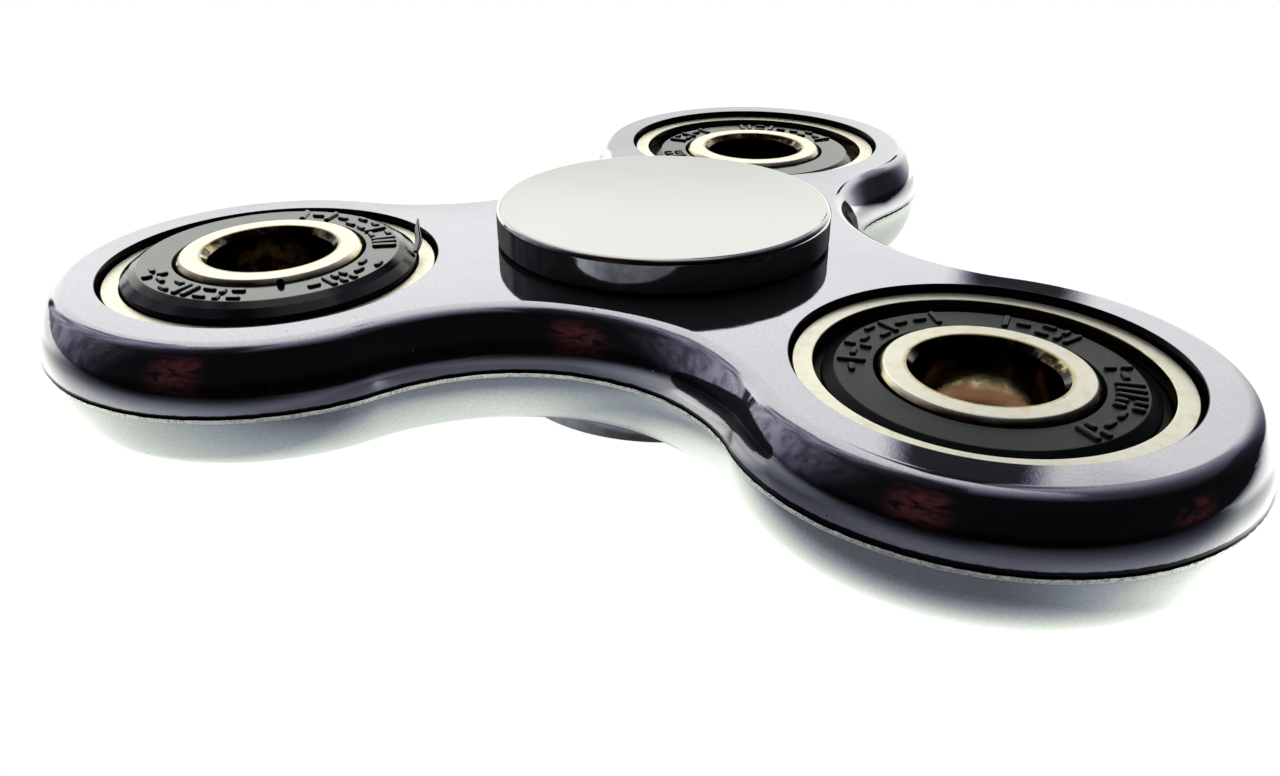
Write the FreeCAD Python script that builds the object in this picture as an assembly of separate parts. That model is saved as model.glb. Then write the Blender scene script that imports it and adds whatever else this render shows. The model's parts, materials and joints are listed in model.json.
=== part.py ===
"""Three-lobed fidget spinner: die-cast body, four 608 ball bearings, two finger caps.

Millimetres, +Z up. The origin is the centre of the lower finger cap's bottom face,
on the axis that the body spins about.
"""
import FreeCAD, Part
import math
import os

from FreeCAD import Vector

# --- body ------------------------------------------------------------------
lobe_pitch = 26.85            # spin axis to the axis of each lobe
lobe_radius = 14.9            # widest radius of a lobe, at the parting line
waist_distance = 15.65        # spin axis to the narrowest point between two lobes
body_thickness = 8.0
edge_radius = 1.2             # rounding between the bulged side and the flat face
bulge_angle = 35.0            # how far the side leans in where the rounding starts
flash_proud = 0.08            # casting flash left on the parting line
flash_height = 0.12
seat_chamfer = 0.15

# --- 608 bearing -----------------------------------------------------------
bearing_od = 22.0
bearing_bore = 8.0
bearing_width = 7.0
outer_chamfer = 0.3
bore_chamfer = 0.45
inner_land_radius = 6.0       # outside of the inner ring
outer_land_radius = 8.75      # inside of the outer ring, beside its groove
seal_seat_radius = 9.6
seal_seat_depth = 1.15
ball_count = 7
ball_radius = 1.984           # 5/32 inch ball
ball_pitch_radius = 7.5
ball_clearance = 0.015        # radial, each side
groove_radius = 2.06
groove_floor_radius = ball_pitch_radius - ball_radius - ball_clearance
cage_inner_radius = 6.6
cage_outer_radius = 8.4
cage_below = 2.1              # cage extent under and over the balls' plane
cage_above = 0.9
pocket_clearance = 0.066

# --- seal, depths counted from the bearing's face ----------------------------
seal_face_depth = 0.3
seal_mouth_radius = 6.25
seal_flat_radius = 8.4
seal_bevel_radius = 9.1
seal_bevel_depth = 0.7
seal_rim_radius = 9.55
seal_rim_thickness = 0.25
lip_clearance = 0.08
lip_depth = 0.75
insert_inner_radius = 6.7
insert_outer_radius = 9.2
insert_thickness = 0.2

# --- finger caps -----------------------------------------------------------
cap_radius = 11.7
cap_thickness = 2.2
cap_edge_radius = 0.4
cap_gap = 0.3                 # between a cap's disc and the body
cap_shoulder_radius = 5.6
cap_stub_length = 3.4
cap_stub_chamfer = 0.3

# --- the bearing whose inner ring and upper seal stand proud -------------------
raised_lift = 1.4

# --- places ----------------------------------------------------------------
mid_z = cap_thickness + cap_gap + body_thickness / 2
bearing_top_z = mid_z + bearing_width / 2
lobe_angles = {"right": -30.0, "back": 90.0, "left": 210.0}


def polar(distance, degrees, z=0.0):
    """Point at a distance and direction from the spin axis."""
    angle = math.radians(degrees)
    return Vector(distance * math.cos(angle), distance * math.sin(angle), z)


def section(points):
    """Flat face in the XZ plane from (radius, z) points."""
    corners = [Vector(radius, 0, z) for radius, z in points]
    return Part.Face(Part.makePolygon(corners + corners[:1]))


def turned(points):
    """Solid of revolution about Z from (radius, z) points."""
    return section(points).revolve(Vector(0, 0, 0), Vector(0, 0, 1), 360)


def moved(shape, position):
    """Copy of a shape, shifted."""
    copy = shape.copy()
    copy.translate(position)
    return copy


def upside_down(shape):
    """Copy of a bearing piece, mirrored to the bearing's other face."""
    return shape.mirror(Vector(0, 0, -bearing_width / 2), Vector(0, 0, 1))


# --- body ------------------------------------------------------------------

def side_section(outline_radius, outward):
    """Face from the axis out to the body's side, for one arc of the outline.

    outward is 1 where the outline bulges (a lobe) and -1 where it is hollow (a waist).
    """
    half = body_thickness / 2
    lean = math.radians(bulge_angle)
    bulge_radius = (half - edge_radius * (1 - math.sin(lean))) / math.sin(lean)

    def point(inset, z):
        return Vector(outline_radius - outward * inset, 0, z)

    def on_bulge(angle):
        return point(bulge_radius * (1 - math.cos(angle)), bulge_radius * math.sin(angle))

    def on_rounding(angle, side):
        centre_inset = bulge_radius * (1 - math.cos(lean)) + edge_radius * math.cos(lean)
        return point(centre_inset - edge_radius * math.cos(angle),
                     side * (half - edge_radius + edge_radius * math.sin(angle)))

    flash_angle = math.asin(flash_height / 2 / bulge_radius)
    middle = (lean + flash_angle) / 2
    between = (lean + math.pi / 2) / 2
    edges = []
    for side in (-1, 1):
        edges.append(Part.LineSegment(Vector(0, 0, side * half), on_rounding(math.pi / 2, side)))
        edges.append(Part.Arc(on_rounding(math.pi / 2, side), on_rounding(between, side),
                              on_bulge(side * lean)))
        edges.append(Part.Arc(on_bulge(side * lean), on_bulge(side * middle),
                              on_bulge(side * flash_angle)))
        edges.append(Part.LineSegment(on_bulge(side * flash_angle),
                                      point(-flash_proud, side * flash_height / 2)))
    edges.append(Part.LineSegment(point(-flash_proud, -flash_height / 2),
                                  point(-flash_proud, flash_height / 2)))
    edges.append(Part.LineSegment(Vector(0, 0, -half), Vector(0, 0, half)))
    wire = Part.Wire(Part.__sortEdges__([edge.toShape() for edge in edges]))
    return Part.Face(wire)


def waist_radius():
    """Radius of the hollow arc that meets both neighbouring lobes without a corner."""
    across = lobe_pitch ** 2 + waist_distance ** 2 - lobe_pitch * waist_distance
    return (across - lobe_radius ** 2) / (lobe_pitch + 2 * lobe_radius - 2 * waist_distance)


def spinner_body():
    """Three lobes joined by hollow waists, with four through seats for bearings."""
    hollow_radius = waist_radius()
    hollow_distance = waist_distance + hollow_radius
    start_z = Vector(0, 0, -body_thickness / 2)

    corners = []
    for angle in lobe_angles.values():
        corners.append(polar(lobe_pitch, angle) + start_z)
        corners.append(polar(hollow_distance, angle + 60) + start_z)
    core = Part.Face(Part.makePolygon(corners + corners[:1]))
    core = core.extrude(Vector(0, 0, body_thickness))
    cutter = side_section(hollow_radius, -1).revolve(Vector(0, 0, 0), Vector(0, 0, 1), 360)
    hollows = [moved(cutter, polar(hollow_distance, angle + 60)) for angle in lobe_angles.values()]
    core = core.cut(hollows)

    to_hollow = polar(hollow_distance, 60) - polar(lobe_pitch, 0)
    half_sweep = math.degrees(math.atan2(to_hollow.y, to_hollow.x))
    lobe = side_section(lobe_radius, 1).revolve(Vector(0, 0, 0), Vector(0, 0, 1), 2 * half_sweep)
    lobes = []
    for angle in lobe_angles.values():
        turned_lobe = lobe.copy()
        turned_lobe.rotate(Vector(0, 0, 0), Vector(0, 0, 1), angle - half_sweep)
        lobes.append(moved(turned_lobe, polar(lobe_pitch, angle)))
    body = core.fuse(lobes).removeSplitter()

    seat_radius = bearing_od / 2
    half = body_thickness / 2
    seat = turned([(0, -half), (seat_radius + seat_chamfer, -half),
                   (seat_radius, seat_chamfer - half), (seat_radius, half - seat_chamfer),
                   (seat_radius + seat_chamfer, half), (0, half)])
    seats = [seat] + [moved(seat, polar(lobe_pitch, angle)) for angle in lobe_angles.values()]
    return moved(body.cut(seats), Vector(0, 0, mid_z))


# --- bearing pieces, with the bearing's upper face at z = 0 --------------------

def outer_ring():
    """Outer ring with a ball groove and a stepped seat for the seal at each face."""
    radius = bearing_od / 2
    half_profile = [(seal_seat_radius, 0), (radius - outer_chamfer, 0), (radius, -outer_chamfer)]
    mirrored = [(r, -bearing_width - z) for r, z in reversed(half_profile)]
    bore = [(seal_seat_radius, seal_seat_depth - bearing_width),
            (outer_land_radius, seal_seat_depth - bearing_width),
            (outer_land_radius, -seal_seat_depth),
            (seal_seat_radius, -seal_seat_depth)]
    groove_centre = ball_pitch_radius + ball_radius + ball_clearance - groove_radius
    groove = Part.makeTorus(groove_centre, groove_radius, Vector(0, 0, -bearing_width / 2))
    return turned(half_profile + mirrored + bore).cut(groove)


def inner_ring(open_shoulder):
    """Inner ring with a ball groove. An open shoulder lets it slide up through the balls."""
    bore = bearing_bore / 2
    land = inner_land_radius
    floor = groove_floor_radius
    ring = turned([(bore, -bore_chamfer), (bore + bore_chamfer, 0), (land - outer_chamfer, 0),
                   (land, -outer_chamfer), (land, outer_chamfer - bearing_width),
                   (land - outer_chamfer, -bearing_width), (bore + bore_chamfer, -bearing_width),
                   (bore, bore_chamfer - bearing_width)])
    middle = Vector(0, 0, -bearing_width / 2)
    ring = ring.cut(Part.makeTorus(floor + groove_radius, groove_radius, middle))
    if open_shoulder:
        ring = ring.cut(turned([(floor, middle.z), (land + 1, middle.z),
                                (land + 1, -bearing_width - 1), (floor, -bearing_width - 1)]))
    return ring


def balls():
    """All the balls of one bearing, as separate solids."""
    spheres = []
    for index in range(ball_count):
        centre = polar(ball_pitch_radius, index * 360 / ball_count, -bearing_width / 2)
        spheres.append(Part.makeSphere(ball_radius, centre))
    return Part.makeCompound(spheres)


def cage():
    """Crown cage: a ring under the balls whose prongs reach up between them."""
    low = -bearing_width / 2 - cage_below
    high = -bearing_width / 2 + cage_above
    ring = turned([(cage_inner_radius, low), (cage_outer_radius, low),
                   (cage_outer_radius, high), (cage_inner_radius, high)])
    pockets = []
    for index in range(ball_count):
        centre = polar(ball_pitch_radius, index * 360 / ball_count, -bearing_width / 2)
        pockets.append(Part.makeSphere(ball_radius + pocket_clearance, centre))
    return ring.cut(pockets)


def seal(lip):
    """Rubber seal of the upper face, rebated underneath for its steel insert.

    lip is the radius of its hole.
    """
    back = -seal_seat_depth
    return turned([(lip, back), (lip, -lip_depth), (seal_mouth_radius, -seal_face_depth),
                   (seal_flat_radius, -seal_face_depth), (seal_bevel_radius, -seal_bevel_depth),
                   (seal_bevel_radius, back + seal_rim_thickness),
                   (seal_rim_radius, back + seal_rim_thickness), (seal_rim_radius, back),
                   (insert_outer_radius, back), (insert_outer_radius, back + insert_thickness),
                   (insert_inner_radius, back + insert_thickness), (insert_inner_radius, back)])


def seal_insert():
    """Steel washer that stiffens the upper seal, flush with its back."""
    back = -seal_seat_depth
    return turned([(insert_inner_radius, back), (insert_outer_radius, back),
                   (insert_outer_radius, back + insert_thickness),
                   (insert_inner_radius, back + insert_thickness)])


def bearing(lift):
    """Pieces of one bearing. lift is how far its inner ring and upper seal stand proud."""
    raise_by = Vector(0, 0, lift)
    raised = lift > 0
    upper_lip = inner_land_radius
    lower_lip = inner_land_radius + lip_clearance
    if raised:
        lower_lip = groove_floor_radius + lip_clearance
    else:
        upper_lip = inner_land_radius + lip_clearance
    return {
        "outer_ring": outer_ring(),
        "inner_ring": moved(inner_ring(open_shoulder=raised), raise_by),
        "balls": balls(),
        "cage": cage(),
        "upper_seal": moved(seal(upper_lip), raise_by),
        "upper_seal_insert": moved(seal_insert(), raise_by),
        "lower_seal": upside_down(seal(lower_lip)),
        "lower_seal_insert": upside_down(seal_insert()),
    }


# --- finger caps -----------------------------------------------------------

def upper_cap():
    """Disc, shoulder that stands on the inner ring, and stub pressed into its bore."""
    top = mid_z + body_thickness / 2 + cap_gap + cap_thickness
    disc_z = top - cap_thickness
    stub_z = bearing_top_z - cap_stub_length
    stub = bearing_bore / 2
    cap = turned([(0, top), (cap_radius, top), (cap_radius, disc_z),
                  (cap_shoulder_radius, disc_z), (cap_shoulder_radius, bearing_top_z),
                  (stub, bearing_top_z), (stub, stub_z + cap_stub_chamfer),
                  (stub - cap_stub_chamfer, stub_z), (0, stub_z)])
    rims = [edge for edge in cap.Edges
            if isinstance(edge.Curve, Part.Circle) and abs(edge.Curve.Radius - cap_radius) < 1e-6]
    return cap.makeFillet(cap_edge_radius, rims)


def main():
    os.makedirs("parts", exist_ok=True)
    pieces = {"spinner_body": spinner_body(), "upper_cap": upper_cap()}
    pieces["lower_cap"] = pieces["upper_cap"].mirror(Vector(0, 0, mid_z), Vector(0, 0, 1))

    places = {"centre": Vector(0, 0, bearing_top_z)}
    for lobe, angle in lobe_angles.items():
        places[lobe] = polar(lobe_pitch, angle, bearing_top_z)
    for name, place in places.items():
        lift = raised_lift if name == "left" else 0.0
        for piece, shape in bearing(lift).items():
            pieces[name + "_" + piece] = moved(shape, place)

    for node, shape in pieces.items():
        shape.exportStep("parts/" + node + ".step")
        box = shape.BoundBox
        print(node, len(shape.Solids), "solids", shape.isValid(), round(shape.Volume, 2), "mm3",
              "z", round(box.ZMin, 3), round(box.ZMax, 3))


main()
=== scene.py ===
"""Looks of the three-lobed fidget spinner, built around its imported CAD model.

Lengths named below are in millimetres and are turned into metres where meshes are made.
"""
import json
import math
import random

import bpy
import bmesh
import numpy as np
from mathutils import Matrix, Vector


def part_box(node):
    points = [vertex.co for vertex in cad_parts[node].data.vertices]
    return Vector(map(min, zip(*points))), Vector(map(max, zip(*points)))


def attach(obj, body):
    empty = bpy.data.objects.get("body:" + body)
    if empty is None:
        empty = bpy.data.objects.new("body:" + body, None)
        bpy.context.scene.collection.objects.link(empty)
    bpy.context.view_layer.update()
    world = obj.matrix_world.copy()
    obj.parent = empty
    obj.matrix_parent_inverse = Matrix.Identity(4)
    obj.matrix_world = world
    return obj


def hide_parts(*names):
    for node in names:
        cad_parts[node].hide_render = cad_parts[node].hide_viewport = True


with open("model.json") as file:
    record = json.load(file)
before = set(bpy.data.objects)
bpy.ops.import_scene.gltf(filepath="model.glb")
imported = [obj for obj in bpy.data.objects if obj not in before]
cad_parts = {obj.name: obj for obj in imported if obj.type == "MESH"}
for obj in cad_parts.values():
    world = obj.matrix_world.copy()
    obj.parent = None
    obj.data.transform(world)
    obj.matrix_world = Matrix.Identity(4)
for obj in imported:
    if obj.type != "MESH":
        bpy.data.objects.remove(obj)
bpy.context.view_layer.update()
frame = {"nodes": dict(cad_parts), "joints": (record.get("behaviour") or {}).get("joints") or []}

MM = 0.001

# --- sizes that the frame gives
places = {joint["name"].split("_")[0]: Vector(joint["pos_m"]) / MM
          for joint in frame["joints"] if joint["name"].endswith("_inner_spin")}
places["centre"] = Vector((0, 0, 0))
body_low, body_high = [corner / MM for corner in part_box("spinner_body")]
mid_z = (body_low.z + body_high.z) / 2
half_thickness = (body_high.z - body_low.z) / 2
bearing_low, bearing_high = [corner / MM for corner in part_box("right_outer_ring")]
bearing_top_z = bearing_high.z
bearing_width = bearing_high.z - bearing_low.z
raised_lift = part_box("left_inner_ring")[1].z / MM - bearing_top_z
cap_low, cap_high = [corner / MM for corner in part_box("upper_cap")]

# --- sizes shared with the CAD model
FLASH_PROUD = 0.08
LOBE_RADIUS = body_high.x - places["right"].x - FLASH_PROUD
LOBE_PITCH = places["right"].xy.length
WAIST_DISTANCE = 15.65
EDGE_RADIUS = 1.2
BULGE_ANGLE = math.radians(35)
SEAT_RADIUS = 11.0
BORE_RADIUS = 4.0
BORE_CHAMFER = 0.45
INNER_LAND_RADIUS = 6.0
INNER_GROOVE_FLOOR = 5.501
OUTER_LAND_RADIUS = 8.75
OUTER_GROOVE_FLOOR = 9.499
GROOVE_RADIUS = 2.06
SEAL_STEP_RADIUS = 9.6
SEAL_STEP_DEPTH = 1.15
SEAL_FACE_DEPTH = 0.3
SEAL_FLAT_RADIUS = 8.4
SEAL_RIM_RADIUS = 9.55
LIP_CLEARANCE = 0.08
INSERT_INNER_RADIUS = 6.7
INSERT_OUTER_RADIUS = 9.2
CAP_RADIUS = (cap_high.x - cap_low.x) / 2
CAP_THICKNESS = 2.2
CAP_GAP = 0.3
CAP_EDGE_RADIUS = 0.4
CAP_SHOULDER_RADIUS = 5.6
STUB_LENGTH = 3.4
STUB_CHAMFER = 0.3

# --- sizes that only the looks need
OUTLINE_SPACING = 0.22        # between points round the parting line
SEAT_ROUNDING = 0.06          # of the body's edge round a bearing seat
SEAT_GAP = 0.07               # dark line between an outer ring and its seat
FLAT_REACH = 6.0              # texture place on the rims that bound the flat faces
SEAT_REACH = 9.0              # texture place on the walls of the seats

LOBES = ("right", "back", "left")
BEARINGS = ("centre",) + LOBES


# ==== mesh building ====

def arc_points(centre, radius, start, end, count):
    """Points and unit normals on an arc in the (radius, z) plane, both ends included."""
    made = []
    for step in range(count + 1):
        angle = start + (end - start) * step / count
        normal = (math.cos(angle), math.sin(angle))
        made.append((centre[0] + radius * normal[0], centre[1] + radius * normal[1], *normal))
    return made


def rounded(corners, radius, steps=3):
    """Closed section whose corners are replaced by arcs, as (r, z, normal r, normal z).

    corners are (r, z) or (r, z, own rounding), and run round the section either way.
    """
    area = sum(a[0] * b[1] - b[0] * a[1] for a, b in zip(corners, corners[1:] + corners[:1]))
    if area < 0:
        corners = corners[::-1]
    made = []
    count = len(corners)
    for index, corner in enumerate(corners):
        here = Vector(corner[:2])
        arriving = here - Vector(corners[index - 1][:2])
        leaving = Vector(corners[(index + 1) % count][:2]) - here
        own = corner[2] if len(corner) > 2 else radius
        room = 0.45 * min(arriving.length, leaving.length)
        arriving.normalize()
        leaving.normalize()
        turn = math.atan2(arriving.x * leaving.y - arriving.y * leaving.x, arriving.dot(leaving))
        tangent = min(own * abs(math.tan(turn / 2)), room)
        own = tangent / max(abs(math.tan(turn / 2)), 1e-9)
        start_normal = Vector((arriving.y, -arriving.x))
        centre = here - arriving * tangent - start_normal * math.copysign(own, turn)
        heading = math.atan2(start_normal.y, start_normal.x)
        pieces = max(1, round(steps * abs(turn) / (math.pi / 2)))
        for step in range(pieces + 1):
            angle = heading + turn * step / pieces
            normal = Vector((math.cos(angle), math.sin(angle)))
            point = centre + normal * math.copysign(own, turn)
            made.append((point.x, point.y, normal.x, normal.y))
    return made


def link(mesh, name):
    """Object for a mesh, in the scene."""
    piece = bpy.data.objects.new(name, mesh)
    bpy.context.scene.collection.objects.link(piece)
    return piece


def grid(points, normals, closed_u, closed_v, first=0):
    """Quads over a grid of points, wound so that they face along the normals."""
    count_u, count_v = points.shape[:2]
    faces = []
    for u in range(count_u if closed_u else count_u - 1):
        for v in range(count_v if closed_v else count_v - 1):
            next_u = (u + 1) % count_u
            next_v = (v + 1) % count_v
            faces.append((first + u * count_v + v, first + next_u * count_v + v,
                          first + next_u * count_v + next_v, first + u * count_v + next_v))
    along_u = points[1, 0] - points[0, 0]
    along_v = points[0, 1] - points[0, 0]
    if np.dot(np.cross(along_u, along_v), normals[0, 0] + normals[0, 1]) < 0:
        faces = [face[::-1] for face in faces]
    return faces


def smooth_mesh(name, points, normals, faces, places_uv):
    """Mesh in metres with a normal and a texture place in millimetres for each vertex."""
    mesh = bpy.data.meshes.new(name)
    mesh.from_pydata([tuple(point) for point in points * MM], [], faces)
    mesh.polygons.foreach_set("use_smooth", [True] * len(mesh.polygons))
    mesh.update()
    mesh.normals_split_custom_set_from_vertices([tuple(normal) for normal in normals])
    corners = np.empty(len(mesh.loops), dtype=int)
    mesh.loops.foreach_get("vertex_index", corners)
    layer = mesh.uv_layers.new(name="millimetres")
    layer.data.foreach_set("uv", places_uv[corners].ravel())
    return mesh


def spun(section, centre, steps):
    """Grids of points and normals of a (r, z, normal r, normal z) section turned about its axis."""
    profile = np.array(section)
    angles = np.arange(steps) * 2 * math.pi / steps
    around = np.stack([np.cos(angles), np.sin(angles)], 1)
    points = np.empty((steps, len(profile), 3))
    points[:, :, :2] = around[:, None, :] * profile[None, :, 0, None]
    points[:, :, 2] = profile[None, :, 1]
    normals = np.empty_like(points)
    normals[:, :, :2] = around[:, None, :] * profile[None, :, 2, None]
    normals[:, :, 2] = profile[None, :, 3]
    return points + np.array(centre), normals


def lathe(name, section, centre, steps, closed=True):
    """Solid of revolution about a vertical axis from (r, z, normal r, normal z) points.

    A section that is not closed starts and ends on the axis. The texture place is the way round
    at a radius of 10 mm, out and back so that it has no jump, and then the radius.
    """
    profile = section if closed else section[1:-1]
    points, normals = spun(profile, centre, steps)
    flat = np.empty((steps, len(profile), 2))
    flat[:, :, 0] = np.abs(np.arange(steps) * 2 * math.pi / steps - math.pi)[:, None] * 10
    flat[:, :, 1] = [corner[0] for corner in profile]
    faces = grid(points, normals, True, closed)
    points = points.reshape(-1, 3)
    normals = normals.reshape(-1, 3)
    flat = flat.reshape(-1, 2)
    if not closed:
        count = len(profile)
        for end, row in ((section[0], 0), (section[-1], count - 1)):
            pole = len(points)
            points = np.vstack([points, np.array(centre) + (0, 0, end[1])])
            normals = np.vstack([normals, (0, 0, end[3])])
            flat = np.vstack([flat, (0, 0)])
            for step in range(steps):
                ring = (step * count + row, (step + 1) % steps * count + row, pole)
                faces.append(ring if end[3] > 0 else ring[::-1])
    return link(smooth_mesh(name, points, normals, faces, flat), name)


# ==== the body ====

def waist_radius():
    """Radius of the hollow arc that meets both neighbouring lobes without a corner."""
    across = LOBE_PITCH ** 2 + WAIST_DISTANCE ** 2 - LOBE_PITCH * WAIST_DISTANCE
    return (across - LOBE_RADIUS ** 2) / (LOBE_PITCH + 2 * LOBE_RADIUS - 2 * WAIST_DISTANCE)


def body_outline():
    """Points and outward directions round the parting line."""
    hollow = waist_radius()
    hollow_distance = WAIST_DISTANCE + hollow
    to_hollow = Vector((hollow_distance / 2 - LOBE_PITCH, hollow_distance * math.sqrt(3) / 2))
    half_lobe = math.atan2(to_hollow.y, to_hollow.x)
    half_waist = half_lobe - math.pi / 3
    points = []
    outward = []
    for name in LOBES:
        heading = math.atan2(places[name].y, places[name].x)
        centre = places[name].xy
        steps = round(2 * half_lobe * LOBE_RADIUS / OUTLINE_SPACING)
        for step in range(steps):
            angle = heading - half_lobe + 2 * half_lobe * step / steps
            direction = Vector((math.cos(angle), math.sin(angle)))
            points.append(centre + direction * LOBE_RADIUS)
            outward.append(direction)
        heading += math.pi / 3
        centre = Vector((math.cos(heading), math.sin(heading))) * hollow_distance
        steps = round(2 * half_waist * hollow / OUTLINE_SPACING)
        for step in range(steps):
            angle = heading + math.pi + half_waist - 2 * half_waist * step / steps
            direction = Vector((math.cos(angle), math.sin(angle)))
            points.append(centre + direction * hollow)
            outward.append(-direction)
    return np.array(points), np.array(outward)


def side_section():
    """(inset, z, normal out, normal up) from the flat top down to just over the parting line."""
    lean = math.sin(BULGE_ANGLE)
    bulge = (half_thickness - EDGE_RADIUS * (1 - lean)) / lean
    edge_inset = bulge * (1 - math.cos(BULGE_ANGLE)) + EDGE_RADIUS * math.cos(BULGE_ANGLE)
    edge_z = half_thickness - EDGE_RADIUS
    edge = arc_points((edge_inset, edge_z), EDGE_RADIUS, math.pi / 2, BULGE_ANGLE, 12)
    side = arc_points((bulge, 0), bulge, BULGE_ANGLE, 0.012, 26)[1:]
    return ([(2 * edge_inset - r, z, out, up) for r, z, out, up in edge]
            + [(2 * bulge - r, z, out, up) for r, z, out, up in side])


def noise_1d(count, octaves, seed):
    """Smooth repeating noise of about unit size round a closed loop."""
    source = np.random.RandomState(seed)
    turn = np.arange(count) / count * 2 * math.pi
    total = np.zeros(count)
    for waves, strength in octaves:
        for _ in range(3):
            phase = source.rand() * 2 * math.pi
            total += strength * np.sin(turn * (waves + source.randint(waves)) + phase)
    return total / 2


def parting_ridge(count):
    """Columns of (proud, z, normal out, normal up) for the ragged line where the mould halves met."""
    ragged = noise_1d(count, ((60, 0.5), (190, 0.6), (420, 0.5)), 4)
    droop = noise_1d(count, ((50, 0.5), (160, 0.6), (380, 0.5)), 5)
    proud = np.clip(0.064 + 0.02 * ragged, 0.025, FLASH_PROUD - 0.004)
    depth = np.clip(0.18 + 0.07 * droop, 0.07, 0.30)
    zero = np.zeros(count)
    return [(zero, zero + 0.16, 0.99, 0.14), (0.3 * proud, zero + 0.12, 0.94, 0.34),
            (0.85 * proud, zero + 0.02, 0.92, 0.39), (proud, zero, 0.97, 0.2),
            (proud, zero - 0.012, 0.87, -0.5), (0.6 * proud, -0.5 * depth, 0.85, -0.53),
            (0.2 * proud, -0.85 * depth, 0.87, -0.49), (zero, -depth - 0.02, 0.98, -0.2)]


def body_side():
    """Points, normals and texture places down the body's side, as grids round the outline.

    The texture place is the way round and then the height over the parting line.
    """
    outline, outward = body_outline()
    count = len(outline)
    half = side_section()
    ridge_depth = 0.3
    columns = [(outline - outward * inset, z, out, up) for inset, z, out, up in half]
    columns += [(outline + outward * proud[:, None], z, out, up)
                for proud, z, out, up in parting_ridge(count)]
    columns += [(outline - outward * inset, -z, out, -up)
                for inset, z, out, up in reversed(half) if z > ridge_depth]
    # The parting line wanders a little, and climbs towards the right lobe.
    wander = 0.03 * noise_1d(count, ((9, 0.6), (30, 0.5), (120, 0.3)), 7)
    climb = 0.42 * np.clip((outline[:, 0] + 12) / 30, 0, 1) ** 1.5

    points = np.empty((count, len(columns), 3))
    normals = np.empty_like(points)
    flat = np.empty((count, len(columns), 2))
    for index, (xy, z, out, up) in enumerate(columns):
        points[:, index, :2] = xy
        points[:, index, 2] = (mid_z + z + wander * np.exp(-(z / 0.4) ** 2)
                               + climb * np.exp(-(z / 2.2) ** 4))
        normals[:, index, :2] = outward * out
        normals[:, index, 2] = up
        flat[:, index, 1] = z
    flat[:, :, 0] = (np.abs(np.arange(count) - count / 2) * OUTLINE_SPACING)[:, None]
    return points, normals, flat


def seat_wall(name):
    """Points, normals and texture places of a bearing seat's wall and rounded edges, as grids."""
    corner = (SEAT_RADIUS + SEAT_ROUNDING, half_thickness - SEAT_ROUNDING)
    edge = arc_points(corner, SEAT_ROUNDING, math.pi / 2, math.pi, 4)
    section = edge + [(r, -z, out, -up) for r, z, out, up in reversed(edge)]
    points, normals = spun(section, (*places[name].xy, mid_z), 300)
    flat = np.zeros((*points.shape[:2], 2))
    flat[:, 1:-1, 1] = SEAT_REACH
    flat[:, 0, 1] = FLAT_REACH
    flat[:, -1, 1] = -FLAT_REACH
    return points, normals, flat


def spinner_body():
    """The cast body: bulged sides with a ragged parting line, flat faces and four bearing seats."""
    points, normals, flat, faces = [], [], [], []
    rims = {1: [], -1: []}
    total = 0
    for part in [body_side()] + [seat_wall(name) for name in BEARINGS]:
        rows, columns = part[0].shape[:2]
        faces += grid(part[0], part[1], True, False, total)
        for made, values in zip((points, normals, flat), part):
            made.append(values.reshape(rows * columns, -1))
        ends = range(total, total + rows * columns, columns)
        rims[1].append(list(ends))
        rims[-1].append([index + columns - 1 for index in ends])
        total += rows * columns

    points = np.vstack(points)
    for side, loops in rims.items():
        faces += flat_face(points, loops, side)
    mesh = smooth_mesh("body_casting", points, np.vstack(normals), faces, np.vstack(flat))
    return link(mesh, "body_casting")


def flat_face(points, loops, side):
    """Triangles of a flat face with holes; side is 1 if it faces up and -1 if down."""
    flat = bmesh.new()
    index_of = {}
    edges = []
    for loop in loops:
        made = [flat.verts.new(points[index]) for index in loop]
        index_of.update(zip(made, loop))
        edges += [flat.edges.new((a, b)) for a, b in zip(made, made[1:] + made[:1])]
    filled = bmesh.ops.triangle_fill(flat, use_beauty=True, edges=edges, normal=(0, 0, side))
    faces = []
    for face in filled["geom"]:
        if isinstance(face, bmesh.types.BMFace):
            face.normal_update()
            corners = [index_of[vert] for vert in face.verts]
            faces.append(corners if face.normal.z * side > 0 else corners[::-1])
    flat.free()
    return faces


# ==== the bearings ====

def groove(floor_radius, land_radius, side):
    """Corner points of a ball groove, listed downwards. side is 1 on an outer ring, -1 on an inner."""
    centre = floor_radius - side * GROOVE_RADIUS
    reach = math.acos(abs(land_radius - centre) / GROOVE_RADIUS)
    made = []
    for step in range(13):
        angle = reach - 2 * reach * step / 12
        made.append((centre + side * GROOVE_RADIUS * math.cos(angle),
                     -bearing_width / 2 + GROOVE_RADIUS * math.sin(angle), 0.0))
    return made


def outer_ring(name, centre):
    """Outer ring with its seal steps and ball groove."""
    bottom = -bearing_width
    outside = SEAT_RADIUS - SEAT_GAP
    flat_end = outside - 0.21
    chamfer = 0.22
    section = [(SEAL_STEP_RADIUS, 0, 0.12), (flat_end, 0, 0.1), (outside, -chamfer, 0.1)]
    section += [(outside, bottom + chamfer, 0.1), (flat_end, bottom, 0.1)]
    section += [(SEAL_STEP_RADIUS, bottom, 0.12), (SEAL_STEP_RADIUS, bottom + SEAL_STEP_DEPTH)]
    section += [(OUTER_LAND_RADIUS, bottom + SEAL_STEP_DEPTH)]
    section += groove(OUTER_GROOVE_FLOOR, OUTER_LAND_RADIUS, 1)[::-1]
    section += [(OUTER_LAND_RADIUS, -SEAL_STEP_DEPTH), (SEAL_STEP_RADIUS, -SEAL_STEP_DEPTH)]
    return lathe(name, rounded(section, 0.05), centre, 360)


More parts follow.
